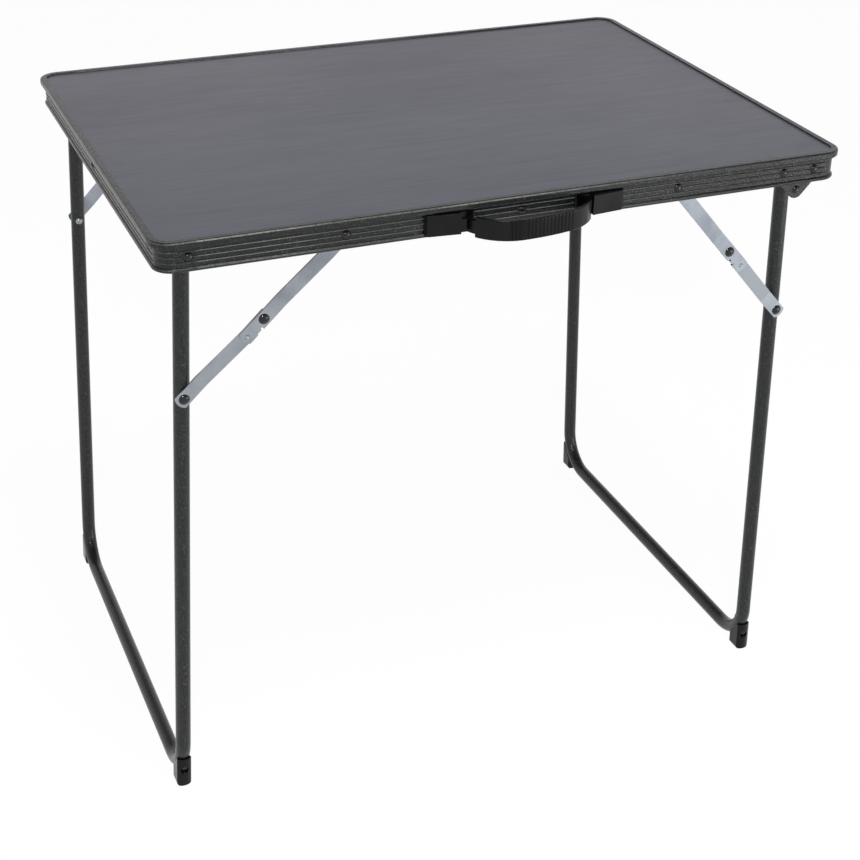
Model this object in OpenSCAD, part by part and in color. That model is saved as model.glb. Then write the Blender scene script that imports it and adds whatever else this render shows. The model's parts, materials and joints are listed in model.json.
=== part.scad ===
// Folding camping table. A thin panel lies in a ribbed metal rim, and two U-shaped tube legs fold up inside it.
// X runs along the long side, Y from front to back and Z up. The floor is Z = 0.
// The left leg pivots on the rim, the right leg on two ears below it, so the folded legs lie one over the other.
// Four two-strip stays hold the legs open: each knee locks in line against a folded stop tab.

/* [Top] */
// length of the top over the rim
top_l = 800; // [740:5:1000]
// depth of the top over the rim
top_w = 590; // [480:5:720]
// height of the top above the floor
top_h = 700; // [560:5:720]
// outer radius of the corners
corner_r = 25; // [18:1:45]
// thickness of the panel
panel_t = 4; // [3:0.5:8]

/* [Rim] */
// height of the rim
rim_h = 34; // [33:1:44]
// width of the lip over the panel's edge
lip_w = 8; // [5:0.5:14]
// sheet thickness of the lip
lip_t = 1.6; // [1:0.1:2.5]
// radius of the lip's outer edge
lip_round = 2.5; // [2:0.1:4]
// thickness of the outer wall beside the panel
wall_t = 1.5; // [1:0.1:2.2]
// distance from the lip's outer edge in to the web
web_inset = 5.5; // [4:0.25:9]
// thickness of the web
web_t = 1.5; // [1:0.1:2.5]
// radius of the bead under the panel's edge
bead_round = 2.4; // [1.5:0.1:3]
// width of the ledge that carries the panel, from the outer edge
ledge_w = 13; // [10:0.5:20]
// thickness of the ledge
ledge_t = 1.5; // [1:0.1:2.5]
// radius of the rolled ribs
rib_r = 0.8; // [0.4:0.1:1.2]
// distance between two ribs
rib_pitch = 6; // [4:0.25:8]
// depth of the middle rib and the rivet line below the top
rivet_drop = 18.5; // [16:0.5:24]
// radius of the roll along the bottom edge
roll_r = 2.5; // [1.5:0.1:3]
// how far the bottom roll stands out from the web
roll_out = 2.2; // [1:0.1:3]

/* [Legs] */
// outside diameter of the leg tube
tube_d = 17.5; // [14:0.5:24]
// wall of the leg tube
tube_wall = 1.2; // [0.8:0.1:2]
// radius of the tube's cut end about its pivot
tube_end_r = 9; // [8:0.25:14]
// centre-line radius of the two bends
bend_r = 50; // [40:1:90]
// height of the crossbar's underside above the floor
tube_lift = 1; // [0.5:0.25:4]
// clear width between the web and the leg tube
leg_gap = 19.75; // [17:0.25:28]
// left pivot, in from the left end
left_pivot_in = 37.4; // [30:0.1:60]
// right pivot, in from the right end
right_pivot_in = 57.8; // [40:0.1:80]
// left crossbar, in from the left end
left_foot_in = 1.45; // [-10:0.05:40]
// right crossbar, in from the right end
right_foot_in = 37.7; // [0:0.1:60]
// right pivot below the rim's bottom edge
ear_hang = 7.6; // [7:0.1:12]

/* [Ears] */
// thickness of the ear plate
ear_t = 1.8; // [1.2:0.1:3]
// radius of the ear's tip about the pivot
ear_r = 10; // [8:0.5:14]
// half the width of the ear plate
ear_half = 27; // [24:0.5:34]
// slope of the ear's flanks
ear_flank = 47.5; // [40:0.5:60]
// rivets either side of the pivot
ear_rivet_x = 19.8; // [14:0.1:24]

/* [Stays] */
// distance between the end pivots of an open stay
stay_len = 241; // [220:1:260]
// width of a strip
stay_w = 16; // [12:0.5:22]
// thickness of a strip
stay_t = 1.8; // [1.2:0.1:3]
// left stay's top rivet, in from the left pivot
left_stay_reach = 165.3; // [150:0.1:180]
// right stay's top rivet, in from the right pivot
right_stay_reach = 154.7; // [140:0.1:170]
// length of a strip past its end pivot
stay_end = 9; // [7:0.5:14]
// radius of a strip's rounded end
stay_end_r = 12; // [9:0.5:20]
// length of the upper strip past the knee
knee_tail = 32; // [26:1:45]
// radius of the lower strip's end about the knee
knee_end_r = 10.1; // [9:0.1:11]
// where the cranked stretch of a strip starts
crank_from = 25; // [18:1:40]
// where the cranked stretch of a strip ends
crank_to = 95; // [60:1:100]
// sideways step of the upper strip
upper_crank = 6.2; // [4:0.1:8]
// start of the stop notch past the knee
notch_from = 8; // [6:0.5:12]
// length of the stop notch
notch_l = 9; // [7:0.5:12]
// depth of the stop notch
notch_d = 3.2; // [2:0.1:4]
// length of the stop tab
tab_l = 6; // [4:0.5:8]
// how far the tab reaches past the lower strip
tab_over = 0.6; // [0.3:0.1:2]
// place of the detent dimple past the knee
detent_s = 25.3; // [20:0.1:30]
// diameter of the detent dimple
detent_d = 4.8; // [3:0.1:6]

/* [Rivets] */
// shank diameter of the pivot and frame rivets
shank_d = 6; // [4:0.5:8]
// shank diameter of the stay rivets
stay_shank_d = 5; // [4:0.5:7]
// head diameter on the rim
rim_head_d = 10.5; // [8:0.5:14]
// head height on the rim
rim_head_h = 2.8; // [1.5:0.1:4]
// head diameter on the stays
stay_head_d = 12; // [9:0.5:14]
// head height on the stays
stay_head_h = 2.5; // [1.5:0.1:4]
// diameter of the closed tail
tail_d = 9; // [7:0.5:12]
// height of the closed tail
tail_h = 2; // [1:0.1:3]
// outside diameter of the leg bushes and washers
bush_d = 12; // [9:0.5:16]
// thickness of the washer between stay and tube
washer_t = 1.55; // [1:0.05:3]

/* [Feet] */
// width of a foot
foot_w = 17; // [16.5:0.25:24]
// height of a foot
foot_h = 38; // [25:1:48]
// step from the tube's outer side in to the foot's front face
foot_front_in = 2; // [2:0.25:8]
// length of a foot along the crossbar
foot_l = 42; // [30:1:60]
// reach of the saddle past the tube's centre line
saddle_over = 5; // [2:0.5:7]
// radius of the foot's bottom edges
foot_round = 3.5; // [2:0.5:6]
// radius of the foot's bulged front
foot_bulge_r = 12; // [10:0.5:80]
// height of the screw in the front face
foot_screw_z = 22; // [16:0.5:30]
// diameter of the screw
screw_d = 4; // [3:0.5:5]
// head diameter of the screw
screw_head_d = 8.5; // [6:0.5:10]
// depth of the screw's recess
screw_sink = 3.5; // [2:0.5:5]

/* [Rails] */
// width of the two straps under the panel
rail_w = 30; // [20:1:50]
// thickness of the straps
rail_t = 1.5; // [1:0.1:2.5]
// length of the end tabs behind the web
rail_tab = 20; // [16:1:24]
// depth of the cross strap's folded edges
rail_fold = 9; // [5:0.5:14]

/* [Handle] */
// middle of the handle, right of the centre
handle_x = 3; // [-50:0.5:50]
// distance between the mouths of the two brackets
handle_mouths = 153.5; // [120:0.5:220]
// length of a bracket's housing
housing_l = 37.5; // [30:0.5:50]
// stand-off of the housing at its outer end
housing_low = 6.5; // [5.5:0.25:9]
// stand-off of the housing at its mouth
housing_high = 10.5; // [8:0.25:14]
// radius of the housing's outer corner
housing_round = 3; // [1:0.25:4]
// bevel along the brackets' top edges
bracket_bevel = 1.2; // [0.4:0.1:1.5]
// thickness of the bracket's base
base_t = 3.5; // [2.5:0.25:5]
// length of the base past the mouth
base_front = 18.5; // [10:0.5:24]
// length of the base past the outer end
base_back = 1; // [0:0.5:6]
// radius of the base's end
base_round = 3; // [1:0.25:5]
// height of a bracket
bracket_h = 23; // [20:0.5:24]
// height of the strap
strap_h = 23; // [16:0.5:26]
// thickness of the strap
strap_t = 4.5; // [3:0.25:7]
// reach of the strap beyond the lip
strap_reach = 35.2; // [30:0.2:50]
// radius of the bow's left end
bow_left_r = 56; // [45:1:80]
// radius of the bow's long middle
bow_middle_r = 254; // [150:2:400]
// radius of the bow's right end
bow_right_r = 62; // [45:1:80]
// stand-off of the left shoulder beyond the lip
left_stand = 9.9; // [6:0.1:14]
// stand-off of the right shoulder beyond the lip
right_stand = 5.9; // [5:0.1:14]
// left shoulder to the left mouth
left_play = 12.8; // [10:0.2:16]
// right shoulder to the right mouth
right_play = 2.8; // [0.6:0.2:4]
// height of the strap's necks
neck_h = 14.3; // [10:0.1:18]
// thickness of the necks
neck_t = 2.5; // [1.5:0.1:4]
// length of a neck past its shoulder
neck_l = 27; // [20:1:32]
// number of grip grooves
grooves = 17; // [8:1:24]
// number of grooves on the strap's inner face
back_grooves = 23; // [8:1:25]
// distance between two grooves
groove_pitch = 4.5; // [3:0.25:6]
// radius of a grip groove
groove_r = 1.1; // [0.5:0.1:2]

/* [Clearances] */
// gap between faces that move past each other
run = 0.3; // [0.2:0.05:0.6]
// radial clearance of a shank in its bore
fit = 0.05; // [0.02:0.01:0.1]
// gap between seated pieces
seat = 0.05; // [0.02:0.01:0.1]

/* [Hidden] */
$fn = 72;
tube_r = tube_d / 2;
web_out = top_w / 2 - web_inset;
web_in = web_out - web_t;
tube_out = web_in - leg_gap;
leg_y = tube_out - tube_r;
bend_y = leg_y - bend_r;
bar_z = tube_lift + tube_r;
groove_top = lip_t;
groove_bottom = lip_t + panel_t + 2 * seat;
bead_bottom = groove_bottom + bead_round - seat;
ledge_bottom = groove_bottom + ledge_t;
rivet_z = top_h - rivet_drop;
ear_z = top_h - rim_h - ear_hang;
ear_drop = rivet_z - ear_z;
// leg pivots and crossbars
left_x = left_pivot_in - top_l / 2;
right_x = top_l / 2 - right_pivot_in;
left_bar_x = left_foot_in - top_l / 2;
right_bar_x = top_l / 2 - right_foot_in;
left_tilt = atan2(left_x - left_bar_x, rivet_z - bar_z);
right_tilt = atan2(right_x - right_bar_x, ear_z - bar_z);
left_len = norm([left_x - left_bar_x, rivet_z - bar_z]);
right_len = norm([right_x - right_bar_x, ear_z - bar_z]);
// top rivets of the stays, and the pins on the legs at the open stay's length
left_top_x = left_x + left_stay_reach;
right_top_x = right_x - right_stay_reach;
left_pin = pin_along(left_tilt, [left_stay_reach, 0]);
right_pin = pin_along(right_tilt, [-right_stay_reach, ear_drop]);
left_pin_x = left_x - left_pin * sin(left_tilt);
left_pin_z = rivet_z - left_pin * cos(left_tilt);
right_pin_x = right_x - right_pin * sin(right_tilt);
right_pin_z = ear_z - right_pin * cos(right_tilt);
left_slope = atan2(rivet_z - left_pin_z, left_top_x - left_pin_x);
right_slope = atan2(rivet_z - right_pin_z, right_pin_x - right_top_x);
// the left stay folds flat onto the rivet line, which sets how the knee divides every stay
upper_len = (stay_len + left_pin - left_stay_reach) / 2;
lower_len = stay_len - upper_len;
// depths of the strips, measured inwards from the web
upper_y = run;
upper_knee_y = run + upper_crank;
lower_knee_y = upper_knee_y + stay_t + run;
lower_crank = leg_gap - 3 * run - 2 * stay_t - washer_t - upper_crank;
lower_y = lower_knee_y + lower_crank;
// stop tab, and the lower strip's notch that turns clear of it
tab_from = notch_from + (notch_l - tab_l) - 0.5;
tab_edge = stay_w / 2 - notch_d;
tab_swing = norm([tab_from, tab_edge]);
lower_notch_from = sqrt(pow(tab_swing - run, 2) - pow(stay_w / 2, 2));
// feet
foot_out = tube_out - foot_front_in;
foot_in = foot_out - foot_l;
screw_angle = atan2(foot_screw_z - bar_z - bend_r, foot_out - bend_y);
screw_seat = norm([foot_out - bend_y, foot_screw_z - bar_z - bend_r]) - screw_sink;
// rails
rail_z = top_h - ledge_bottom - seat;
long_rail_z = top_h - groove_bottom;
// handle
bracket_z = top_h - bead_bottom - 0.4 - bracket_h;
left_mouth = handle_x - handle_mouths / 2;
right_mouth = handle_x + handle_mouths / 2;
housing_in = web_out + base_t;
neck_y = housing_in + run;
slot_l = housing_l - 9;
strap_left = left_mouth + left_play;
strap_right = right_mouth - right_play;
strap_z = rivet_z - 5.2;
neck_z = rivet_z - 5.4;
// bow from above: its left end runs from the shoulder to the crown, and the middle from there to the right end
crown_y = top_w / 2 + strap_reach;
crown_x = strap_left + arc_run(bow_left_r, strap_reach - left_stand);
foot_x = crown_x - arc_run(bow_left_r, crown_y - neck_y - neck_t);
left_centre = [crown_x, crown_y - bow_left_r];
middle_centre = [crown_x, crown_y - bow_middle_r];
bow_turn = turn_to(
    [strap_right, top_w / 2 + right_stand], middle_centre, bow_middle_r, bow_right_r
);
right_centre = middle_centre + (bow_middle_r - bow_right_r) * [sin(bow_turn), cos(bow_turn)];
bow_joint = crown_x + bow_middle_r * sin(bow_turn);
// the drawn origin lies under the middle of everything, the handle and the left feet included
shift_x = max(0, foot_w / 2 - left_foot_in) / 2;
shift_y = strap_reach / 2;

// Distance from a leg's pivot to its stay pin: the open stay reaches from the top rivet to the leg's axis.
function pin_along(tilt, top) =
    let (along = -sin(tilt) * top[0] - cos(tilt) * top[1])
    along + sqrt(stay_len * stay_len - top * top + along * along);

// Run of an arc that starts level and drops by a height.
function arc_run(r, drop) = sqrt(r * r - pow(r - drop, 2));

// Turn of the bow's middle arc, after which the right end meets its shoulder.
function turn_to(shoulder, centre, r, end_r) =
    let (d = norm(shoulder - centre), arm = r - end_r)
    atan2(shoulder[0] - centre[0], shoulder[1] - centre[1])
        - acos((d * d + arm * arm - end_r * end_r) / (2 * d * arm));

// Outward distance of the bow's face at a place along the handle.
function on_arc(centre, r, x) = centre[1] + sqrt(r * r - pow(x - centre[0], 2));
function bow_y(x) =
    x < crown_x ? on_arc(left_centre, bow_left_r, x)
    : x < bow_joint ? on_arc(middle_centre, bow_middle_r, x)
    : on_arc(right_centre, bow_right_r, x);

module placed() {
    translate([shift_x, shift_y, 0]) children();
}

module front_and_back() {
    children();
    mirror([0, 1, 0]) children();
}

// A face on the front side, y in from the middle, with +Z of what it holds pointing out.
module on_front(x, y, z) {
    translate([x, -y, z]) rotate([90, 0, 0]) children();
}

module dome(d, h) {
    r = (d * d / 4 + h * h) / (2 * h);
    rotate_extrude() intersection() {
        translate([0, h - r]) circle(r);
        square([d / 2, h]);
    }
}

// A rivet with its head's underside at Z = 0 and its tail closed at the far end of the grip.
module rivet(head_d, head_h, d, grip, closed_d, closed_h) {
    dome(head_d, head_h);
    translate([0, 0, -grip - 0.01]) cylinder(d = d, h = grip + 0.02);
    translate([0, 0, -grip]) mirror([0, 0, 1]) dome(closed_d, closed_h);
}

module ring(outer_d, inner_d, h) {
    difference() {
        cylinder(d = outer_d, h = h);
        translate([0, 0, -1]) cylinder(d = inner_d, h = h + 2);
    }
}

module rounded_square(l, w, r) {
    square([l - 2 * r, w], center = true);
    square([l, w - 2 * r], center = true);
    for (x = [-1, 1], y = [-1, 1])
        translate([x * (l / 2 - r), y * (w / 2 - r)]) circle(r);
}

module panel() {
    inset = wall_t + seat;
    color("#68676e")
    translate([0, 0, top_h - groove_bottom + seat])
    linear_extrude(panel_t) rounded_square(top_l - 2 * inset, top_w - 2 * inset, corner_r - inset);
}

// Section of the rim: X is the distance in from the outer edge, Y the height from the top face.
module rim_section(ribbed) {
    difference() {
        union() {
            translate([lip_round, -lip_round]) circle(lip_round);
            translate([lip_round, -lip_t]) square([lip_w - lip_round, lip_t]);
            translate([0, -groove_bottom]) square([web_inset, groove_bottom - lip_round]);
            translate([bead_round, -groove_bottom]) circle(bead_round);
            translate([bead_round, -bead_bottom]) square([web_inset - bead_round + web_t, bead_round]);
            translate([web_inset, -ledge_bottom]) square([ledge_w - web_inset, ledge_t]);
            translate([web_inset, -rim_h + roll_r]) square([web_t, rim_h - roll_r - groove_bottom]);
            intersection() {
                translate([web_inset - roll_out + roll_r, -rim_h + roll_r]) circle(roll_r);
                translate([0, -rim_h]) square([web_inset + web_t, 2 * roll_r]);
            }
            if (ribbed)
                for (i = [-1, 0, 1]) translate([web_inset, -rivet_drop + i * rib_pitch]) circle(rib_r);
        }
        translate([wall_t, -groove_bottom]) square([ledge_w, groove_bottom - groove_top]);
        if (ribbed)
            for (i = [-1, 0, 1])
                translate([web_inset + web_t, -rivet_drop + i * rib_pitch]) circle(rib_r * 0.7);
    }
}

module rim_run(length) {
    translate([-length / 2, 0, 0]) rotate([90, 0, 90]) linear_extrude(length) rim_section(true);
}

// Places along the front where a rivet's head sits flat on the web.
rim_rivets = [left_x, left_top_x, 0, right_top_x, right_x - ear_rivet_x, right_x + ear_rivet_x];

module rim() {
    color("#3c3f3c")
    difference() {
        union() {
            for (m = [0, 1]) mirror([0, m, 0])
                translate([0, -top_w / 2, top_h]) rim_run(top_l - 2 * corner_r);
            for (m = [0, 1]) mirror([m, 0, 0])
                translate([-top_l / 2, 0, top_h]) rotate([0, 0, -90]) rim_run(top_w - 2 * corner_r);
            for (mx = [0, 1], my = [0, 1]) mirror([mx, 0, 0]) mirror([0, my, 0])
                translate([top_l / 2 - corner_r, top_w / 2 - corner_r, top_h]) rotate_extrude(angle = 90)
                translate([corner_r, 0]) mirror([1, 0]) rim_section(false);
        }
        front_and_back() {
            for (x = rim_rivets) on_front(x, web_out, rivet_z) {
                cylinder(d = rim_head_d + 1, h = web_inset - wall_t);
                translate([0, 0, -web_t - 1]) cylinder(d = shank_d + 2 * fit, h = web_t + 2);
            }
        }
        for (m = [0, 1]) mirror([m, 0, 0])
            translate([top_l / 2 - web_inset, 0, rivet_z]) rotate([0, 90, 0]) {
                cylinder(d = rim_head_d + 1, h = web_inset - wall_t);
                translate([0, 0, -web_t - 1]) cylinder(d = shank_d + 2 * fit, h = web_t + 2);
            }
        for (x = handle_rivet_x) on_front(x, web_out, rivet_z)
            translate([0, 0, -web_t - 1]) cylinder(d = 3.2 + 2 * fit, h = web_t + 2);
    }
}

// Side view of a strap: level under the panel, stepped down to pass under the ledge, tabs down behind the web.
module rail_side(half, level, step) {
    low = level - step;
    right = [
        [half - 22, level], [half - 18, low], [half, low], [half, low - rail_t - rail_tab],
        [half - rail_t, low - rail_t - rail_tab], [half - rail_t, low - rail_t],
        [half - 18, low - rail_t], [half - 22, level - rail_t]
    ];
    polygon(concat(right, [for (i = [len(right) - 1 : -1 : 0]) [-right[i][0], right[i][1]]]));
}

module long_rail() {
    half = top_l / 2 - web_inset - web_t;
    color("#9aa0a4")
    difference() {
        translate([0, rail_w / 2, 0]) rotate([90, 0, 0]) linear_extrude(rail_w)
        rail_side(half, long_rail_z, ledge_t + seat);
        translate([0, 0, rivet_z]) rotate([0, 90, 0]) cylinder(d = shank_d + 2 * fit, h = 2 * top_l, center = true);
    }
}

module cross_rail() {
    half = web_in;
    edge = leg_y - tube_r - 16;
    color("#9aa0a4")
    difference() {
        union() {
            translate([-rail_w / 2, 0, 0]) rotate([90, 0, 90]) linear_extrude(rail_w)
            rail_side(half, rail_z, 0);
            for (m = [0, 1]) mirror([m, 0, 0])
                translate([rail_w / 2 - rail_t, -edge, rail_z - rail_t - rail_fold])
                cube([rail_t, 2 * edge, rail_fold + rail_t]);
        }
        translate([0, 0, rivet_z]) rotate([90, 0, 0]) cylinder(d = shank_d + 2 * fit, h = 2 * top_w, center = true);
    }
}

module rail_rivets() {
    grip = web_t + rail_t;
    color("#17191a") {
        front_and_back() on_front(0, web_out, rivet_z)
            rivet(rim_head_d, rim_head_h, shank_d, grip, tail_d, tail_h);
        for (m = [0, 1]) mirror([m, 0, 0])
            translate([top_l / 2 - web_inset, 0, rivet_z]) rotate([0, 90, 0])
            rivet(rim_head_d, rim_head_h, shank_d, grip, tail_d, tail_h);
    }
}

// Plate behind the web whose tip hangs below the rim and carries a right leg's pivot.
module ear_outline() {
    foot = [ear_r * sin(ear_flank), -ear_r * cos(ear_flank)];
    shoulder = foot[1] + (ear_half - foot[0]) * tan(ear_flank);
    top = ear_drop + ear_r - 1.5;
    circle(ear_r);
    polygon([
        [foot[0], foot[1]], [ear_half, shoulder], [ear_half, top],
        [-ear_half, top], [-ear_half, shoulder], [-foot[0], foot[1]]
    ]);
}

module ear_bracket() {
    color("#3c3f40")
    on_front(right_x, web_in, ear_z) difference() {
        translate([0, 0, -ear_t]) linear_extrude(ear_t) ear_outline();
        translate([0, 0, -ear_t - 1]) cylinder(d = shank_d + 2 * fit, h = ear_t + 2);
        for (x = [-1, 1]) translate([x * ear_rivet_x, ear_drop, -ear_t - 1])
            cylinder(d = shank_d + 2 * fit, h = ear_t + 2);
    }
}

module ear_rivets() {
    color("#17191a")
    front_and_back() for (x = [-1, 1]) on_front(right_x + x * ear_rivet_x, web_out, rivet_z)
        rivet(rim_head_d, rim_head_h, shank_d, web_t + ear_t, tail_d, tail_h);
}

module left_pivot_rivets() {
    color("#17191a")
    front_and_back() on_front(left_x, web_out, rivet_z)
        rivet(rim_head_d, rim_head_h, shank_d, web_t + leg_gap + tube_d + run, tail_d, tail_h);
}

module right_pivot_rivets() {
    color("#17191a")
    front_and_back() on_front(right_x, web_in, ear_z)
        rivet(rim_head_d, rim_head_h, shank_d, leg_gap + tube_d + run, tail_d, tail_h);
}

module left_bushes() {
    color("#8a9096")
    front_and_back() on_front(left_x, tube_out + run, rivet_z)
        ring(bush_d, shank_d + 2 * fit, leg_gap - run);
}

module right_bushes() {
    color("#8a9096")
    front_and_back() on_front(right_x, tube_out + run, ear_z)
        ring(bush_d, shank_d + 2 * fit, leg_gap - run - ear_t);
}

module stay_top_rivets() {
    grip = web_t + 2 * run + stay_t;
    color("#17191a")
    front_and_back() for (x = [left_top_x, right_top_x]) on_front(x, web_out, rivet_z)
        rivet(rim_head_d, rim_head_h, shank_d, grip, tail_d, tail_h);
}

// U-shaped run of tube or of its bore, hanging from a pivot line at Z = 0.
module u_run(len, r, above) {
    translate([0, -bend_y, -len]) rotate([-90, 0, 0]) cylinder(r = r, h = 2 * bend_y);
    front_and_back() {
        translate([0, leg_y, bend_r - len]) cylinder(r = r, h = len - bend_r + above);
        translate([0, bend_y, bend_r - len]) rotate([-90, 0, 0]) rotate([0, -90, 0])
            rotate_extrude(angle = 90) translate([bend_r, 0]) circle(r);
    }
}

// What the round-nosed cut takes off a tube's upper end.
module nose_cut() {
    size = 2 * tube_r + 4;
    difference() {
        translate([-size / 2, leg_y - size / 2, 0]) cube([size, size, size]);
        translate([0, leg_y, 0]) rotate([90, 0, 0]) cylinder(r = tube_end_r, h = size + 2, center = true);
    }
}

module leg_frame(len, pin) {
    color("#3e4040")
    difference() {
        u_run(len, tube_r, tube_r + 2);
        u_run(len, tube_r - tube_wall, tube_r + 4);
        front_and_back() {
            nose_cut();
            translate([0, leg_y, 0]) rotate([90, 0, 0])
                cylinder(d = shank_d + 2 * fit, h = tube_d + 4, center = true);
            translate([0, leg_y, -pin]) rotate([90, 0, 0])
                cylinder(d = stay_shank_d + 2 * fit, h = tube_d + 4, center = true);
            translate([0, bend_y, bend_r - len]) rotate([screw_angle - 90, 0, 0])
                translate([0, 0, bend_r - tube_r - 3]) cylinder(d = screw_d + 2 * fit, h = tube_d + 6);
        }
    }
}

module on_left_leg() {
    translate([left_x, 0, rivet_z]) rotate([0, left_tilt, 0]) children();
}

module on_right_leg() {
    translate([right_x, 0, ear_z]) rotate([0, right_tilt, 0]) children();
}

// Foot on the front bend of a leg frame: a wedge with a saddle for the tube.
module foot_block(len, tilt) {
    dig = max(0.45, foot_w / 2 * sin(abs(tilt)));
    low = -bar_z - dig;
    high = foot_h - bar_z;
    translate([0, 0, -len]) difference() {
        intersection() {
            translate([-foot_w / 2, 0, 0]) rotate([90, 0, 90]) linear_extrude(foot_w) difference() {
                translate([-foot_out - 1, low]) square([foot_l + 1, high - low]);
                translate([-bend_y, bend_r]) circle(bend_r + saddle_over);
            }
            rotate([90, 0, 0]) linear_extrude(top_w) {
                translate([-foot_w / 2, low + foot_round]) square([foot_w, high - low]);
                translate([-foot_w / 2 + foot_round, low]) square([foot_w - 2 * foot_round, foot_round]);
                for (x = [-1, 1]) translate([x * (foot_w / 2 - foot_round), low + foot_round]) circle(foot_round);
            }
            translate([0, -foot_out + foot_bulge_r, low - 1]) cylinder(r = foot_bulge_r, h = foot_h + 4);
        }
        mirror([0, 1, 0]) translate([0, bend_y, bend_r]) {
            rotate([-90, 0, 0]) rotate([0, -90, 0]) rotate_extrude(angle = 90)
                translate([bend_r, 0]) circle(tube_r + seat);
            rotate([screw_angle - 90, 0, 0]) {
                translate([0, 0, bend_r]) cylinder(d = screw_d + 2 * fit, h = 2 * tube_d);
                translate([0, 0, screw_seat]) cylinder(d = screw_head_d + 0.5, h = 2 * screw_sink + 4);
            }
        }
    }
}

module above_floor() {
    difference() {
        children();
        translate([-top_l, -top_w, -20]) cube([2 * top_l, 2 * top_w, 20]);
    }
}

module left_foot() {
    color("#232527") above_floor() on_left_leg() foot_block(left_len, left_tilt);
}

module right_foot() {
    color("#232527") above_floor() on_right_leg() foot_block(right_len, right_tilt);
}

// Pan-head screw with a crossed recess, its seat at Z = 0.
module foot_screw(len) {
    head_h = screw_sink - 1;
    color("#1a1b1c") mirror([0, 1, 0]) translate([0, bend_y, bend_r - len])
    rotate([screw_angle - 90, 0, 0]) translate([0, 0, screw_seat]) difference() {
        union() {
            dome(screw_head_d, head_h);
            translate([0, 0, bend_r - tube_r - screw_seat]) cylinder(d = screw_d, h = screw_seat + tube_r - bend_r + 0.1);
            translate([0, 0, bend_r - tube_r - screw_seat - 3]) cylinder(d1 = 1, d2 = screw_d, h = 3);
        }
        for (a = [0, 90]) rotate([0, 0, a]) translate([-screw_head_d / 4, -0.5, head_h - 1.3])
            cube([screw_head_d / 2, 1, 3]);
    }
}

// Closed pin through a leg tube that ends flush with its washer.
module stay_pin(pin) {
    color("#8a9096") on_front(0, tube_out + washer_t, -pin) {
        translate([0, 0, -washer_t - tube_d - 0.1]) cylinder(d = stay_shank_d, h = washer_t + tube_d + 0.1);
        translate([0, 0, -washer_t - tube_d]) mirror([0, 0, 1]) dome(tail_d, tail_h);
    }
}

module washer(pin) {
    color("#8a9096") on_front(0, tube_out, -pin) ring(bush_d, stay_shank_d + 2 * fit, washer_t);
}

// Outline of a strip along X with a shallow round at both ends.
module strip_outline(from, to) {
    intersection() {
        translate([from, -stay_w / 2]) square([to - from, stay_w]);
        union() {
            translate([from + stay_end_r, 0]) circle(stay_end_r);
            translate([from + stay_end_r, -stay_w]) square([to - from - 2 * stay_end_r, 2 * stay_w]);
            translate([to - stay_end_r, 0]) circle(stay_end_r);
        }
    }
}

// Edge view of a strip: X along it, Y its depth in from the web, with one cranked stretch.
module strip_edge(from, start, stop, to, depth, step) {
    linear_extrude(stay_w + 2, center = true) polygon([
        [from, depth], [start, depth], [stop, depth + step], [to, depth + step],
        [to, depth + step + stay_t], [stop, depth + step + stay_t], [start, depth + stay_t], [from, depth + stay_t]
    ]);
}

module through_depth() {
    translate([0, leg_gap + 5, 0]) rotate([90, 0, 0]) linear_extrude(leg_gap + 10) children();
}

module upper_strip() {
    end = upper_len + knee_tail;
    union() {
        difference() {
            intersection() {
                strip_edge(-stay_end - 1, crank_from, crank_to, end + 1, upper_y, upper_crank);
                through_depth() difference() {
                    strip_outline(-stay_end, end);
                    translate([upper_len + notch_from, -stay_w / 2 - 1]) square([notch_l, notch_d + 1]);
                    circle(d = shank_d + 2 * fit);
                    translate([upper_len, 0]) circle(d = stay_shank_d + 2 * fit);
                }
            }
            translate([upper_len + detent_s, upper_knee_y - detent_d * 0.35, 0]) sphere(d = detent_d * 1.22);
        }
        translate([upper_len + tab_from, upper_knee_y, -tab_edge - stay_t])
            cube([tab_l, 2 * stay_t + run + tab_over, stay_t + 0.1]);
    }
}

module lower_strip() {
    end = upper_len + lower_len + stay_end;
    start = upper_len + crank_from;
    stop = upper_len + lower_len - (upper_len - crank_to);
    intersection() {
        strip_edge(upper_len - stay_w, start, stop, end + 1, lower_knee_y, lower_crank);
        through_depth() difference() {
            union() {
                intersection() {
                    translate([upper_len, 0]) circle(knee_end_r);
                    translate([upper_len - stay_w, -stay_w / 2]) square([2 * stay_w, stay_w]);
                }
                intersection() {
                    strip_outline(upper_len - 2 * stay_w, end);
                    translate([upper_len, -stay_w]) square([lower_len + stay_w, 2 * stay_w]);
                }
            }
            translate([upper_len + lower_notch_from, -stay_w / 2 - 1])
                square([notch_from + notch_l - lower_notch_from, notch_d + run + 1]);
            translate([upper_len, 0]) circle(d = stay_shank_d + 2 * fit);
            translate([upper_len + lower_len, 0]) circle(d = stay_shank_d + 2 * fit);
        }
    }
}

// A left or right stay lies along its open slope, with +Z of its own frame towards the corner.
module on_left_stay() {
    translate([left_top_x, -web_in, rivet_z]) mirror([1, 0, 0]) rotate([0, left_slope, 0]) children();
}

module on_right_stay() {
    translate([right_top_x, -web_in, rivet_z]) rotate([0, right_slope, 0]) children();
}

module stay_upper() {
    color("#a9b1b8") upper_strip();
}

module stay_lower() {
    color("#a9b1b8") lower_strip();
}

module knee_rivet() {
    grip = 2 * stay_t + 2 * run;
    color("#17191a") translate([upper_len, upper_knee_y, 0]) rotate([90, 0, 0])
        rivet(stay_head_d, stay_head_h, stay_shank_d, grip, tail_d, tail_h);
}

// Head and short shank at a stay's lower end, over the pin on the leg.
module end_rivet() {
    color("#17191a") translate([upper_len + lower_len, lower_y, 0]) rotate([90, 0, 0]) {
        dome(stay_head_d, stay_head_h);
        translate([0, 0, -stay_t]) cylinder(d = stay_shank_d, h = stay_t + 0.1);
    }
}

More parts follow.
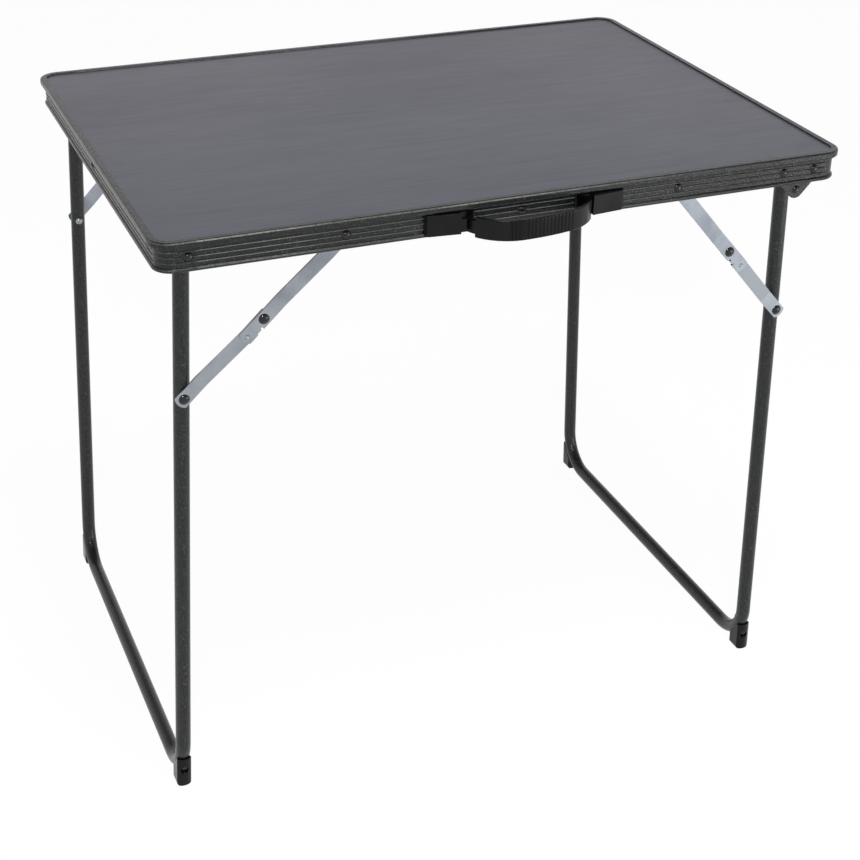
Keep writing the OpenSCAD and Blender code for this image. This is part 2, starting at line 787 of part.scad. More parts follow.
// Fixing rivets of the handle: one under each housing and one on each open base.
handle_rivet_x = [
    left_mouth - 14, left_mouth + base_front - 8,
    right_mouth + 14, right_mouth - base_front + 8
];

// Left bracket from above: a base with a wedge-shaped housing, both with a rounded end.
module bracket_outline() {
    slope = atan2(housing_high - housing_low, housing_l);
    round_x = housing_round - housing_l;
    round_y = web_out + housing_low + housing_round * tan(slope) - housing_round / cos(slope);
    polygon([
        [-housing_l, web_out], [0, web_out], [0, web_out + housing_high],
        [round_x - housing_round * sin(slope), round_y + housing_round * cos(slope)],
        [round_x, round_y], [-housing_l, round_y]
    ]);
    translate([round_x, round_y]) circle(housing_round);
    translate([-housing_l - base_back, web_out])
        square([housing_l + base_back + base_front - base_round, base_t]);
    intersection() {
        translate([base_front - base_round, web_out + base_t - base_round]) circle(base_round);
        translate([0, web_out]) square([base_front, base_t]);
    }
}

// Square bar along X whose corner bevels an edge.
module edge_bevel(size, len) {
    rotate([45, 0, 0]) cube([2 * len, size * sqrt(2), size * sqrt(2)], center = true);
}

// Left bracket, open at its mouth for the strap's neck.
module handle_bracket(mouth) {
    z0 = bracket_z;
    slope = atan2(housing_high - housing_low, housing_l);
    difference() {
        translate([mouth, 0, z0]) mirror([0, 1, 0]) difference() {
            linear_extrude(bracket_h) bracket_outline();
            translate([0, web_out + housing_high, bracket_h]) rotate([0, 0, slope])
                edge_bevel(bracket_bevel, housing_l + 10);
            translate([housing_l + 0.2, web_out + base_t, bracket_h]) edge_bevel(bracket_bevel, housing_l);
        }
        // slot for the neck
        translate([mouth - slot_l, -neck_y - neck_t - run, neck_z - neck_h / 2 - run])
            cube([slot_l + 1, neck_t + 2 * run, neck_h + 2 * run]);
        // reliefs over the ribs and the bottom roll
        for (i = [-1, 0, 1])
            translate([mouth - top_l / 4, -web_out, rivet_z + i * rib_pitch]) rotate([0, 90, 0])
            cylinder(r = rib_r + seat, h = top_l / 2);
        translate([mouth - top_l / 4, -web_out + roll_r - roll_out, top_h - rim_h + roll_r]) rotate([0, 90, 0])
            cylinder(r = roll_r + seat, h = top_l / 2);
    }
}

module handle_rivet_bores() {
    for (x = handle_rivet_x) on_front(x, housing_in, rivet_z) {
        translate([0, 0, -base_t - 1]) cylinder(d = 3.2 + 2 * fit, h = base_t + 2);
        translate([0, 0, -1.6]) cylinder(d = 7.2, h = 2);
    }
}

module handle_bracket_left() {
    color("#222527") difference() {
        handle_bracket(left_mouth);
        handle_rivet_bores();
    }
}

module handle_bracket_right() {
    color("#222527") difference() {
        mirror([1, 0, 0]) handle_bracket(-right_mouth);
        handle_rivet_bores();
    }
}

module handle_rivets() {
    color("#8a9096")
    for (x = handle_rivet_x) on_front(x, housing_in - 1.6, rivet_z) {
        cylinder(d = 7, h = 1.5);
        translate([0, 0, -base_t + 1.6 - web_t - 0.1]) cylinder(d = 3.2, h = base_t - 1.6 + web_t + 0.2);
        translate([0, 0, -base_t + 1.6 - web_t]) mirror([0, 0, 1]) dome(6, 1.4);
    }
}

// Everything inside a line that lies in from the bow's outer face: three discs that touch from within.
module bow_disc(in) {
    translate(left_centre) circle(bow_left_r - in);
    translate(right_centre) circle(bow_right_r - in);
    intersection() {
        translate(middle_centre) circle(bow_middle_r - in);
        polygon([
            middle_centre, middle_centre + [0, 2 * bow_middle_r],
            middle_centre + 2 * bow_middle_r * [sin(bow_turn), cos(bow_turn)]
        ]);
    }
}

// The bow from above, from its left end to the right shoulder.
module bow_outline(left) {
    intersection() {
        difference() {
            bow_disc(0);
            bow_disc(strap_t);
        }
        translate([left, neck_y]) square([strap_right - left, crown_y]);
    }
}

module handle_strap() {
    color("#232628")
    difference() {
        mirror([0, 1, 0]) union() {
            translate([0, 0, strap_z - strap_h / 2]) linear_extrude(strap_h) bow_outline(strap_left);
            translate([0, 0, neck_z - neck_h / 2]) linear_extrude(neck_h) {
                bow_outline(foot_x - neck_t);
                translate([strap_left - neck_l, neck_y]) square([neck_l - 0.5, neck_t]);
                translate([strap_right - 2.5, neck_y]) square([neck_l - 1.5, neck_t]);
            }
        }
        for (i = [0 : grooves - 1]) {
            x = handle_x + 4 + (i - (grooves - 1) / 2) * groove_pitch;
            translate([x, -bow_y(x) - groove_r * 0.35, strap_z]) cylinder(r = groove_r, h = strap_h + 2, center = true);
        }
        for (i = [0 : back_grooves - 1]) {
            x = handle_x + 4 + (i - (back_grooves - 1) / 2) * groove_pitch;
            translate([x, -bow_y(x) + strap_t + groove_r * 0.35, strap_z])
                cylinder(r = groove_r, h = strap_h + 2, center = true);
        }
    }
}

placed() panel();
placed() rim();
placed() long_rail();
placed() cross_rail();
placed() rail_rivets();
placed() ear_bracket();  // ear_bracket_front
placed() mirror([0, 1, 0]) ear_bracket();  // ear_bracket_back
placed() ear_rivets();
placed() left_pivot_rivets();
placed() right_pivot_rivets();
placed() left_bushes();
placed() right_bushes();
placed() stay_top_rivets();
placed() handle_bracket_left();
placed() handle_bracket_right();
placed() handle_rivets();
placed() handle_strap();
placed() on_left_leg() leg_frame(left_len, left_pin);  // left_leg_frame
placed() left_foot();  // foot_left_front
placed() mirror([0, 1, 0]) left_foot();  // foot_left_back
placed() front_and_back() on_left_leg() foot_screw(left_len);  // left_foot_screws
placed() front_and_back() on_left_leg() stay_pin(left_pin);  // left_stay_pins
placed() front_and_back() on_left_leg() washer(left_pin);  // left_washers
placed() on_right_leg() leg_frame(right_len, right_pin);  // right_leg_frame
placed() right_foot();  // foot_right_front
placed() mirror([0, 1, 0]) right_foot();  // foot_right_back
placed() front_and_back() on_right_leg() foot_screw(right_len);  // right_foot_screws
placed() front_and_back() on_right_leg() stay_pin(right_pin);  // right_stay_pins
placed() front_and_back() on_right_leg() washer(right_pin);  // right_washers
placed() on_left_stay() stay_upper();  // stay_upper_left_front
placed() mirror([0, 1, 0]) on_left_stay() stay_upper();  // stay_upper_left_back
placed() on_right_stay() stay_upper();  // stay_upper_right_front
placed() mirror([0, 1, 0]) on_right_stay() stay_upper();  // stay_upper_right_back
placed() on_left_stay() stay_lower();  // stay_lower_left_front
placed() mirror([0, 1, 0]) on_left_stay() stay_lower();  // stay_lower_left_back
placed() on_right_stay() stay_lower();  // stay_lower_right_front
placed() mirror([0, 1, 0]) on_right_stay() stay_lower();  // stay_lower_right_back
placed() on_left_stay() knee_rivet();  // knee_rivet_left_front
placed() mirror([0, 1, 0]) on_left_stay() knee_rivet();  // knee_rivet_left_back
placed() on_right_stay() knee_rivet();  // knee_rivet_right_front
placed() mirror([0, 1, 0]) on_right_stay() knee_rivet();  // knee_rivet_right_back
placed() on_left_stay() end_rivet();  // end_rivet_left_front
placed() mirror([0, 1, 0]) on_left_stay() end_rivet();  // end_rivet_left_back
placed() on_right_stay() end_rivet();  // end_rivet_right_front
placed() mirror([0, 1, 0]) on_right_stay() end_rivet();  // end_rivet_right_back
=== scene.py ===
import json
import math

import bpy
import numpy as np
from mathutils import Matrix, Vector


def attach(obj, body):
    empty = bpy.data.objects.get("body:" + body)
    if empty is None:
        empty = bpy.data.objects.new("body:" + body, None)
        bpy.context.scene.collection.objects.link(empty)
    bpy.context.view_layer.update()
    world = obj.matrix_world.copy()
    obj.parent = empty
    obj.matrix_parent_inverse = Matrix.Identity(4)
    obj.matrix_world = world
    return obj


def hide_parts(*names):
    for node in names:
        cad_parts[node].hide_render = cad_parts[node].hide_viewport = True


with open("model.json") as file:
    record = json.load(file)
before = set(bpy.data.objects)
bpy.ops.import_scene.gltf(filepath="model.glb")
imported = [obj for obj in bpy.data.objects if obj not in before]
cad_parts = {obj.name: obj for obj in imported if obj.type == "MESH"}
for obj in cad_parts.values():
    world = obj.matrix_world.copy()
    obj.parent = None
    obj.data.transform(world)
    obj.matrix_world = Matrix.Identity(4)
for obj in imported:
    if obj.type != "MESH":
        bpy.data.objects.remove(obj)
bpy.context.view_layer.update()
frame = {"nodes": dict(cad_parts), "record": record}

tableMiddle = (0.003525, 0.0176)    # X and Y of the middle of the top, which the rim and the strap start from
noiseSpan = (0.3, 0.7)              # a noise texture stays between these nearly everywhere
noiseCore = (0.35, 0.65)            # and mostly between these


class Socket:
    # a shader socket that can stand in a sum: each operation adds one Math node

    def __init__(self, tree, out):
        self.tree = tree
        self.out = out

    def math(self, operation, other=0.0, swap=False):
        first, second = (other, self) if swap else (self, other)
        return self.tree.node("ShaderNodeMath", {"operation": operation}, {0: first, 1: second})

    def __add__(self, other):
        return self.math("ADD", other)

    def __radd__(self, other):
        return self.math("ADD", other, True)

    def __sub__(self, other):
        return self.math("SUBTRACT", other)

    def __rsub__(self, other):
        return self.math("SUBTRACT", other, True)

    def __mul__(self, other):
        return self.math("MULTIPLY", other)

    def __rmul__(self, other):
        return self.math("MULTIPLY", other, True)


class NodeTree:
    # wraps a material's or world's tree: node() makes any node, the rest are patterns used more than once

    def __init__(self, tree):
        self.nodes = tree.nodes
        self.links = tree.links
        self.nodes.clear()

    def feed(self, socket, value):
        if isinstance(value, Socket):
            self.links.new(value.out, socket)
        elif value is not None:
            socket.default_value = value

    def node(self, kind, settings=None, inputs=None, output=0):
        made = self.nodes.new(kind)
        for key, value in (settings or {}).items():
            setattr(made, key, value)
        for key, value in (inputs or {}).items():
            self.feed(made.inputs[key], value)
        return Socket(self, made.outputs[output]) if made.outputs else None

    def place(self, scale=(1.0, 1.0, 1.0), turn=(0.0, 0.0, 0.0)):
        where = self.node("ShaderNodeTexCoord", output="Object")
        return self.node("ShaderNodeMapping", inputs={"Vector": where, "Scale": scale, "Rotation": turn})

    def axes(self, where, names="XYZ"):
        return [self.node("ShaderNodeSeparateXYZ", inputs={0: where}, output=name) for name in names]

    def noise(self, where, scale, detail=3.0, rough=0.5, distortion=0.0):
        return self.node("ShaderNodeTexNoise", inputs={
            "Vector": where, "Scale": scale, "Detail": detail, "Roughness": rough, "Distortion": distortion})

    def cells(self, where, scale):
        return self.node("ShaderNodeTexVoronoi", inputs={"Vector": where, "Scale": scale})

    def band(self, value, low, high, start=0.0, end=1.0):
        # goes smoothly from start, where value is low, to end, where it is high
        return self.node("ShaderNodeMapRange", {"interpolation_type": "SMOOTHSTEP"}, {
            "Value": value, "From Min": low, "From Max": high, "To Min": start, "To Max": end})

    def blend(self, factor, first, second):
        # a Mix node set to colour takes its colours on sockets 6 and 7 and gives the result on socket 2
        made = self.nodes.new("ShaderNodeMix")
        made.data_type = "RGBA"
        self.feed(made.inputs["Factor"], factor)
        for socket, colour in ((made.inputs[6], first), (made.inputs[7], second)):
            self.feed(socket, colour if isinstance(colour, Socket) else (*colour, 1.0))
        return Socket(self, made.outputs[2])

    def bump(self, height, strength, distance):
        return self.node("ShaderNodeBump", inputs={
            "Height": height, "Strength": strength, "Distance": distance})

    def seen(self):
        # 1 for the rays that show the background: straight to the camera, mirrored, or through glass
        paths = self.nodes.new("ShaderNodeLightPath")
        rays = [Socket(self, paths.outputs[name])
                for name in ("Is Camera Ray", "Is Glossy Ray", "Is Transmission Ray")]
        return rays[0].math("MAXIMUM", rays[1]).math("MAXIMUM", rays[2])


class Finish(NodeTree):
    # a material with one Principled shader
    sockets = {"colour": "Base Color", "roughness": "Roughness", "metallic": "Metallic", "normal": "Normal",
               "specular": "Specular IOR Level"}

    def __init__(self, name):
        self.material = bpy.data.materials.new(name)
        self.material.use_nodes = True
        super().__init__(self.material.node_tree)
        self.output = self.nodes.new("ShaderNodeOutputMaterial")
        self.shader = self.nodes.new("ShaderNodeBsdfPrincipled")
        self.links.new(self.shader.outputs[0], self.output.inputs["Surface"])

    def surface(self, **values):
        for key, value in values.items():
            if key == "colour" and not isinstance(value, Socket):
                value = (*value, 1.0)
            self.feed(self.shader.inputs[self.sockets[key]], value)
        return self.material


def screen(r, g, b):
    # linear colour of an 8-bit screen colour
    return tuple(((c / 255.0 + 0.055) / 1.055) ** 2.4 if c > 10 else c / 255.0 / 12.92 for c in (r, g, b))


def shade(colour, share):
    return tuple(c * share for c in colour)


camera = {
    "turn": -0.3907,        # radians about Z: it stands to the left of the table's middle
    "tilt": 0.5064,         # radians down from level
    "roll": 0.0146,
    "place": (-0.732345, -1.81188, 1.35888),
    "lens": 71.96,
    "sensor": 36.0,
    "clip": (0.05, 50.0),
}


def makeCamera():
    # looks down by tilt at the heading turn; right and up are then rolled about that direction
    turn, tilt, roll = camera["turn"], camera["tilt"], camera["roll"]
    forward = Vector((-math.sin(turn) * math.cos(tilt), math.cos(turn) * math.cos(tilt), -math.sin(tilt)))
    right = forward.cross(Vector((0, 0, 1))).normalized()
    up = right.cross(forward)
    rolledRight = right * math.cos(roll) + up * math.sin(roll)
    rolledUp = up * math.cos(roll) - right * math.sin(roll)
    data = bpy.data.cameras.new("camera")
    data.lens = camera["lens"]
    data.sensor_width = camera["sensor"]
    data.clip_start, data.clip_end = camera["clip"]
    seat = bpy.data.objects.new("camera", data)
    bpy.context.scene.collection.objects.link(seat)
    axes = Matrix((rolledRight, rolledUp, -forward)).transposed().to_4x4()
    seat.matrix_world = Matrix.Translation(camera["place"]) @ axes
    bpy.context.scene.camera = seat


makeCamera()
print("camera placed")


studio = {
    "floorSize": 24.0,
    "floorDrop": 0.0002,        # the floor lies this far under the feet
    "floorPaper": {"colour": (0.9, 0.9, 0.9), "roughness": 0.9, "specular": 0.1},
    "floorWhite": 0.90,         # share of plain white in what the camera sees of the floor
    "floorGlow": 1.06,
    "wallGlow": 1.0,            # a pale wall stands all round
    "wallTop": (0.42, 0.62),    # sines of the angles above level between which it turns into the ceiling
    "ceilingGlow": 0.25,
    "fill": 0.42,               # share of the room's glow that lights the table
    "lamps": [
        # name, place, aim, size, watts
        ("overhead", (-0.05, -0.75, 2.75), (0.0, 0.0, 0.6), (0.5, 0.8), 19.0),
        ("leftFront", (-0.95, -2.6, 2.2), (0.0, 0.0, 0.5), (0.35, 0.35), 29.0),
        ("rightFront", (1.65, -1.75, 0.31), (0.33, -0.28, 0.5), (1.5, 0.55), 11.0),
    ],
}


def makeFloor():
    # pale paper, of which the camera sees mostly plain white with the table's shadow on it
    size = studio["floorSize"] / 2
    mesh = bpy.data.meshes.new("floor")
    corners = [(-size, -size, 0), (size, -size, 0), (size, size, 0), (-size, size, 0)]
    mesh.from_pydata(corners, [], [(0, 1, 2, 3)])
    floor = bpy.data.objects.new("floor", mesh)
    floor.location = (0, 0, -studio["floorDrop"])
    bpy.context.scene.collection.objects.link(floor)
    paper = Finish("floorPaper")
    paper.surface(**studio["floorPaper"])
    plain = Socket(paper, paper.shader.outputs[0])
    white = paper.node("ShaderNodeEmission", inputs={"Strength": studio["floorGlow"]})
    share = paper.seen() * studio["floorWhite"]
    mixed = paper.node("ShaderNodeMixShader", inputs={0: share, 1: plain, 2: white})
    paper.feed(paper.output.inputs["Surface"], mixed)
    mesh.materials.append(paper.material)


def makeRoom():
    # the world: a glowing wall and a dimmer ceiling, seen in full and lighting the table in part
    world = bpy.data.worlds.new("paleRoom")
    bpy.context.scene.world = world
    world.use_nodes = True
    room = NodeTree(world.node_tree)
    where = room.node("ShaderNodeTexCoord", output="Generated")
    height, = room.axes(where, "Z")
    glow = room.band(height, *studio["wallTop"], studio["wallGlow"], studio["ceilingGlow"])
    fill = studio["fill"]
    strength = glow * (fill + room.seen() * (1.0 - fill))
    background = room.node("ShaderNodeBackground", inputs={"Color": (1, 1, 1, 1), "Strength": strength})
    room.node("ShaderNodeOutputWorld", inputs={"Surface": background})


def makeLamps():
    for name, place, aim, size, watts in studio["lamps"]:
        data = bpy.data.lights.new(name, "AREA")
        data.shape = "RECTANGLE"
        data.size, data.size_y = size
        data.energy = watts
        lamp = bpy.data.objects.new(name, data)
        lamp.location = place
        lamp.rotation_euler = (Vector(aim) - Vector(place)).to_track_quat("-Z", "Y").to_euler()
        lamp.visible_camera = False
        bpy.context.scene.collection.objects.link(lamp)


makeFloor()
makeRoom()
makeLamps()
bpy.context.scene.view_settings.view_transform = "Standard"
print("studio lit")


# in the finishes below, a pair named To or From is the two levels of a noise between which a tone comes in,
# Share is how much of it, and bump is the strength and the distance of the relief
board = {
    "base": screen(72, 73, 88),
    "dark": screen(67, 68, 83),
    "pale": screen(77, 78, 93),
    # scale of the axes, which stretches a noise along X, and the noise's own settings
    "wide": ((1.1, 17.0, 17.0), (2.0, 4.0, 0.55, 0.8)),
    "fine": ((7.0, 210.0, 210.0), (2.0, 5.0, 0.62, 0.4)),
    "pore": ((17.0, 640.0, 640.0), (2.0, 2.0, 0.5)),
    "sheen": ((2.2, 3.0, 3.0), (1.0, 2.0)),
    "streak": (0.18, 0.82),     # shares of the wide and the fine grain
    "darkTo": (0.38, 0.5),
    "paleFrom": (0.5, 0.64),
    "paleShare": 0.8,
    "poreFrom": (0.60, 0.72),
    "poreShare": 0.45,
    "gloss": (0.6, 0.4),        # shares of the streaks and the slow sheen in the roughness
    "roughness": (0.38, 0.62, 0.40, 0.33),     # levels of that sum, and the roughness at both
    "poreRougher": 0.08,
    "specular": 0.42,
    "relief": (0.7, 0.6),       # height of the streaks and depth of the pores
    "bump": (0.22, 0.0003),
    "backBelow": 0.6950,        # the face under this height is the bare back of the board
    "back": screen(70, 68, 66),
    "backDark": 0.86,
    "backMottle": (160.0, 4.0, 0.6),
    "backRougher": 0.3,
}


def boardFinish():
    # printed grain along X: noise stretched fifteen and thirty times, and short pores pressed into it
    finish = Finish("boardLaminate")
    wide, fine, pore, sheen = (finish.noise(finish.place(board[name][0]), *board[name][1])
                               for name in ("wide", "fine", "pore", "sheen"))
    streak = wide * board["streak"][0] + fine * board["streak"][1]
    colour = finish.blend(finish.band(streak, *board["darkTo"]), board["dark"], board["base"])
    colour = finish.blend(finish.band(streak, *board["paleFrom"]) * board["paleShare"], colour, board["pale"])
    pores = finish.band(pore, *board["poreFrom"])
    colour = finish.blend(pores * board["poreShare"], colour, board["dark"])
    height, = finish.axes(finish.place(), "Z")
    under = height.math("LESS_THAN", board["backBelow"])
    mottle = finish.band(finish.noise(finish.place(), *board["backMottle"]), *noiseCore)
    back = finish.blend(mottle, shade(board["back"], board["backDark"]), board["back"])
    colour = finish.blend(under, colour, back)
    gloss = streak * board["gloss"][0] + sheen * board["gloss"][1]
    rough = finish.band(gloss, *board["roughness"]) + pores * board["poreRougher"]
    rough = rough + under * board["backRougher"]
    relief = streak * board["relief"][0] - pores * board["relief"][1]
    return finish.surface(colour=colour, roughness=rough, specular=board["specular"],
                          normal=finish.bump(relief, *board["bump"]))


coat = {
    # grain is the number of hammered cells in a metre, speck the noise level where a pale fleck starts
    "rimCoat": {"base": screen(25, 28, 27), "dark": screen(11, 13, 12), "pale": screen(104, 108, 105),
                "grain": 470.0, "speck": 0.58, "roughness": 0.27},
    "tubeCoat": {"base": screen(34, 36, 37), "dark": screen(12, 14, 15), "pale": screen(98, 101, 102),
                 "grain": 560.0, "speck": 0.565, "roughness": 0.22},
    "speckFiner": 1.6,
    "speckNoise": (2.0, 0.6),
    "darkTo": (0.40, 0.56),
    "paleOver": 0.12,           # from its start, a fleck reaches its full tone over this much noise
    "paleShare": 0.85,
    "cloud": (14.0, 3.0),
    "cloudShare": 0.25,
    "rougher": (0.10, -0.06),   # added to the roughness in the dips and on the flecks
    "specular": 0.36,
    "relief": (0.6, 0.7),       # shares of the cells and the specks
    "bump": (0.5, 0.0005),
}
ribs = {
    # height, half the height of the band that carries painted highlight flecks, and how many flecks it has
    "crests": ((0.6875, 0.0007, 1.0), (0.6815, 0.0007, 1.0), (0.6755, 0.0007, 1.0)),
    "edges": ((0.6988, 0.0009, 1.0), (0.6697, 0.0014, 0.55)),
    "core": 0.3,                # share of that half height which is painted highlight all through
    # pale colour painted on the crests and edges as their highlight
    "paintedHighlight": screen(168, 172, 168),
    "highlightSpeck": (0.36, 0.56, 0.2, 0.85),       # levels of the speck noise, and the painted highlight at both
    "patch": (5.0, 2.0),
    "highlightPatchLevels": (0.38, 0.62, 0.5, 1.0),        # levels of the patch noise, and the painted highlight at both
    "highlightRight": (-0.1, 0.3, 1.0, 0.18),        # X from and to, and the painted highlight at both: less to the right
    "highlightLeft": (-0.399, -0.393, 0.3, 1.0),     # and less painted highlight on the left side
    "corner": (0.352, 0.247),   # beyond these the rim is bent and its ribs are relief
    "cornerRun": 0.004,
    # share by which the painted highlight is cut on the bent corners
    "cornerHighlightCut": 0.6,
    "cornerRelief": 3.0,
}


def paintedRibHighlight(finish, where, speck):
    # a painted highlight of pale flecks on the crests and edges of the rim, in patches that thin out to the
    # right, painted in place on the surface; the bent corners carry the ribs as relief
    x, y, z = finish.axes(where)
    bands = [finish.band((z - height).math("ABSOLUTE"), half, half * ribs["core"]) * share
             for height, half, share in ribs["crests"] + ribs["edges"]]
    crest = bands[0] + bands[1] + bands[2]
    bentX, bentY = (finish.band((across - middle).math("ABSOLUTE"), start, start + ribs["cornerRun"])
                    for across, middle, start in zip((x, y), tableMiddle, ribs["corner"]))
    bent = bentX * bentY
    patch = finish.band(finish.noise(where, *ribs["patch"]), *ribs["highlightPatchLevels"])
    patch = patch * finish.band(x, *ribs["highlightRight"]) * finish.band(x, *ribs["highlightLeft"])
    paintedHighlight = (crest + bands[3] + bands[4]) * finish.band(speck, *ribs["highlightSpeck"])
    paintedHighlight = paintedHighlight * patch * (1.0 - bent * ribs["cornerHighlightCut"])
    return paintedHighlight, crest * bent * ribs["cornerRelief"]


def coatFinish(name, ribbed=False):
    # hammered coat: rounded cells about two millimetres wide with pale flecks, over a slow change of tone
    look = coat[name]
    finish = Finish(name)
    where = finish.place()
    cells = finish.cells(where, look["grain"])
    speck = finish.noise(where, look["grain"] * coat["speckFiner"], *coat["speckNoise"])
    cloud = finish.noise(where, *coat["cloud"])
    colour = finish.blend(finish.band(speck, *coat["darkTo"]), look["dark"], look["base"])
    fleck = finish.band(speck, look["speck"], look["speck"] + coat["paleOver"])
    colour = finish.blend(fleck * coat["paleShare"], colour, look["pale"])
    colour = finish.blend(finish.band(cloud, *noiseSpan) * coat["cloudShare"], colour, look["dark"])
    relief = cells * coat["relief"][0] + speck * coat["relief"][1]
    # on the rim, a painted highlight of pale flecks along the crests and edges, and the corners' ribs as
    # relief
    if ribbed:
        paintedHighlight, ridges = paintedRibHighlight(finish, where, speck)
        colour = finish.blend(paintedHighlight, colour, ribs["paintedHighlight"])
        relief = relief + ridges
    dips, tops = (look["roughness"] + more for more in coat["rougher"])
    return finish.surface(colour=colour, roughness=finish.band(speck, *noiseCore, dips, tops),
                          specular=coat["specular"], normal=finish.bump(relief, *coat["bump"]))


zinc = {
    "stayZinc": {"low": (0.24, 0.26, 0.30), "high": (0.35, 0.375, 0.41), "roughness": 0.40},
    "frameZinc": {"low": (0.20, 0.21, 0.23), "high": (0.33, 0.35, 0.37), "roughness": 0.36},
    "cloud": (22.0, 3.0, 0.55),
    "scratchStretch": ((26.0, 60.0, 26.0), (0.0, 0.76, 0.0)),
    "scratch": (22.0, 5.0, 0.7),
    "spot": (420.0, 2.0),
    "tone": (0.8, 0.2),         # shares of the clouds and the scratches
    "highFrom": (0.34, 0.62),
    "spotFrom": (0.68, 0.78),
    "spotShare": 0.25,
    "spotDark": 0.5,
    "glossFrom": (0.3, 0.65),
    "rougher": (0.05, -0.03),   # added to the roughness where the tone is low and high
    "relief": (0.7, 0.3),       # shares of the scratches and the clouds
    "bump": (0.06, 0.0003),
}


def zincFinish(name):
    # plated strip: slow clouds of tone, fine rolling scratches and a few dim pin spots
    look = zinc[name]
    finish = Finish(name)
    where = finish.place()
    cloud = finish.noise(where, *zinc["cloud"])
    scratch = finish.noise(finish.place(*zinc["scratchStretch"]), *zinc["scratch"])
    spot = finish.noise(where, *zinc["spot"])
    tone = cloud * zinc["tone"][0] + scratch * zinc["tone"][1]
    colour = finish.blend(finish.band(tone, *zinc["highFrom"]), look["low"], look["high"])
    spots = finish.band(spot, *zinc["spotFrom"]) * zinc["spotShare"]
    colour = finish.blend(spots, colour, shade(look["low"], zinc["spotDark"]))
    low, high = (look["roughness"] + more for more in zinc["rougher"])
    relief = scratch * zinc["relief"][0] + cloud * zinc["relief"][1]
    rough = finish.band(tone, *zinc["glossFrom"], low, high)
    return finish.surface(colour=colour, metallic=1.0, roughness=rough,
                          normal=finish.bump(relief, *zinc["bump"]))


rivet = {
    "dark": screen(5, 6, 7),
    "pale": screen(13, 14, 15),
    "pit": (1100.0, 2.0),
    "cloud": (210.0, 2.0),
    "roughness": (0.09, 0.14),
    "specular": 0.45,
    "bump": (0.04, 0.0002),
}


def rivetFinish():
    # stoved black: smooth, with tiny pits that break the highlight
    finish = Finish("rivetBlack")
    where = finish.place()
    pit = finish.noise(where, *rivet["pit"])
    cloud = finish.noise(where, *rivet["cloud"])
    colour = finish.blend(finish.band(cloud, *noiseCore), rivet["dark"], rivet["pale"])
    return finish.surface(colour=colour, roughness=finish.band(pit, *noiseSpan, *rivet["roughness"]),
                          specular=rivet["specular"], normal=finish.bump(pit, *rivet["bump"]))


plastic = {
    "dark": screen(5, 6, 7),
    "pale": screen(13, 14, 15),
    "grain": (1500.0, 3.0, 0.6),
    "cloud": (26.0, 3.0),
    "roughness": (0.18, 0.25),
    "grainRougher": 0.05,
    "specular": 0.2,
    "bump": (0.08, 0.0002),
}


def plasticFinish():
    # moulded plastic: an even spark-eroded grain and a slow change of gloss from handling
    finish = Finish("mouldedPlastic")
    where = finish.place()
    grain = finish.noise(where, *plastic["grain"])
    cloud = finish.noise(where, *plastic["cloud"])
    colour = finish.blend(finish.band(cloud, *noiseSpan), plastic["dark"], plastic["pale"])
    rough = finish.band(cloud, *noiseSpan, *plastic["roughness"]) + grain * plastic["grainRougher"]
    return finish.surface(colour=colour, roughness=rough, specular=plastic["specular"],
                          normal=finish.bump(grain, *plastic["bump"]))


finishes = {
    "panel_board": boardFinish(),
    "rim_coat": coatFinish("rimCoat", ribbed=True),
    "tube_coat": coatFinish("tubeCoat"),
    "stay_zinc": zincFinish("stayZinc"),
    "frame_zinc": zincFinish("frameZinc"),
    "rivet_black": rivetFinish(),
    "black_plastic": plasticFinish(),
}
stoved = ("handle_rivets",)     # sunk heads that are black on top of their plating


def dressNodes():
    slots = {part["node"]: part["material_slot"] for part in frame["record"]["subparts"]}
    for name, piece in frame["nodes"].items():
        piece.data.materials.clear()
        piece.data.materials.append(finishes["rivet_black" if name in stoved else slots[name]])


dressNodes()
print("finishes on", len(frame["nodes"]), "nodes")


strap = {
    # in metres, from the table's middle: across is along X and out is towards the front
    "lipOut": 0.295,
    "reach": 0.0352,
    "thick": 0.0045,
    "high": 0.023,
    "centreHigh": 0.6763,
    "edge": 0.0011,
    "radii": (0.056, 0.254, 0.062),         # left end, long middle, right end
    "shoulders": (-0.06095, 0.07695),
    "stands": (0.0099, 0.0059),             # how far the outer face stands out from the lip at each shoulder
    "stations": (150, 170, 130),            # rings of the mesh along each arc
    "crowd": 1.15,                          # above 1 the rings crowd towards the two ends
    "drawn": {"edge": 0.8, "steep": 1.6},   # the ends' rounding, as a share of edge, and how soon it is over
    "sharp": 38,                            # degrees between faces that meet in a sharp line
    "neck": {"out": 0.2958, "thick": 0.0025, "high": 0.0143, "centreHigh": 0.6761, "edge": 0.0007,
             "stations": 60, "left": (-0.027, 0.0045), "right": (-0.0025, 0.023)},
    "grooves": {"radius": 0.0011, "sink": 0.0001, "pitch": 0.0045, "centre": 0.007, "front": 17, "back": 23},
}


def roundedProfile(width, height, edge, sides=(6, 14), corner=5):
    # closed loop of points round a rectangle with quarter circles at its corners, anticlockwise; sides is how
    # many points divide its broad and narrow sides, and corner how many steps go round each corner
    points = []
    halfW, halfH = width / 2 - edge, height / 2 - edge
    corners = [(halfW, halfH, 0), (-halfW, halfH, 90), (-halfW, -halfH, 180), (halfW, -halfH, 270)]
    for index, (x, y, start) in enumerate(corners):
        turn = np.radians(start + np.linspace(0, 90, corner + 1))
        points.append(np.stack([x + edge * np.cos(turn), y + edge * np.sin(turn)], 1))
        nextX, nextY, nextStart = corners[(index + 1) % 4]
        nextTurn = np.radians(nextStart)
        first = points[-1][-1]
        last = np.array([nextX + edge * np.cos(nextTurn), nextY + edge * np.sin(nextTurn)])
        steps = np.linspace(0, 1, sides[index % 2] + 2)[1:-1, None]
        points.append(first + (last - first) * steps)
    return np.concatenate(points)


